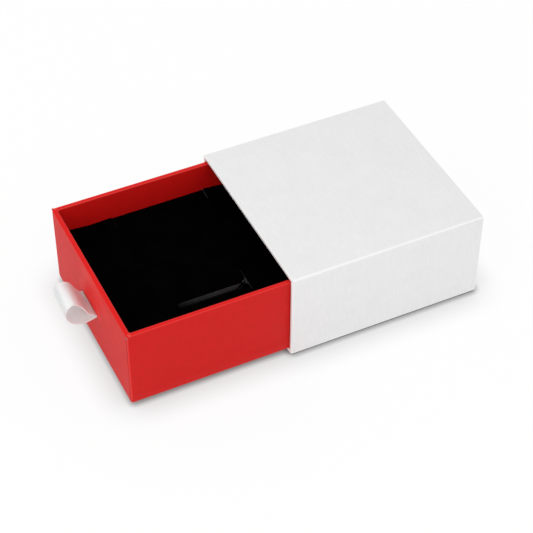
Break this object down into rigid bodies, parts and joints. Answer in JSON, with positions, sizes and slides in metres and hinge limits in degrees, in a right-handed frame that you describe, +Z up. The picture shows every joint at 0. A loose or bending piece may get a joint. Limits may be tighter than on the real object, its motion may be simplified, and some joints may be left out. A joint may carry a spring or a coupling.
{
  "type": "sliding drawer gift box",
  "caption": "Small rigid jewellery box: a drawer with a ribbon pull and a slotted velvet insert slides out of a sleeve with a closed back.",
  "frame": {"origin": "centre of the sleeve's underside, on the surface that the box stands on", "axes": "+Z up, the drawer pulls out towards -Y, +X to the right seen from the front"},
  "size_m": [0.08, 0.1593, 0.0395],
  "materials": {
    "white_linen_paper": "matte",
    "white_lining_paper": "matte",
    "red_paper": "satin",
    "grey_board": "matte",
    "kraft_tape": "matte",
    "white_satin": "satin",
    "grey_foam": "matte",
    "black_velvet": "matte"
  },
  "bodies": {
    "sleeve": {"sleeve_top_board": "grey_board", "sleeve_bottom_board": "grey_board", "sleeve_left_board": "grey_board", "sleeve_right_board": "grey_board", "sleeve_back_board": "grey_board", "sleeve_wrap": "white_linen_paper", "sleeve_base_sheet": "white_linen_paper", "sleeve_lining": "white_lining_paper"},
    "drawer": {"drawer_base_board": "grey_board", "drawer_front_board": "grey_board", "drawer_back_board": "grey_board", "drawer_left_board": "grey_board", "drawer_right_board": "grey_board", "drawer_corner_tapes": "kraft_tape", "drawer_wrap": "red_paper", "drawer_base_lining": "red_paper", "ribbon_tails": "white_satin", "ribbon_patch": "kraft_tape", "insert_support_left": "grey_board", "insert_support_right": "grey_board", "insert_pad": "grey_foam", "insert_cover": "black_velvet"},
    "pull_ribbon": {"ribbon_loop": "white_satin"},
    "far_flap": {"ring_flap_far": "black_velvet"},
    "near_flap": {"ring_flap_near": "black_velvet"}
  },
  "joints": [
    {"name": "drawer_slide", "type": "slide", "parent": "sleeve", "child": "drawer", "axis": [0, -1, 0], "range_m": [-0.0651, 0.012]},
    {"name": "ribbon_flex", "type": "hinge", "parent": "drawer", "child": "pull_ribbon", "pos_m": [-0.0012, -0.1061, 0.0186], "axis": [-1, 0, 0], "range_deg": [-38, 28], "stiffness_Nm_per_rad": 0.0004},
    {"name": "far_flap_fold", "type": "hinge", "parent": "drawer", "child": "far_flap", "pos_m": [0.0135, -0.06385, 0.0245], "axis": [0, 1, 0], "range_deg": [-15.9, 30], "stiffness_Nm_per_rad": 0.0004},
    {"name": "near_flap_fold", "type": "hinge", "parent": "drawer", "child": "near_flap", "pos_m": [0.0226, -0.06385, 0.0245], "axis": [0, -1, 0], "range_deg": [-35.9, 15], "stiffness_Nm_per_rad": 0.0004}
  ]
}
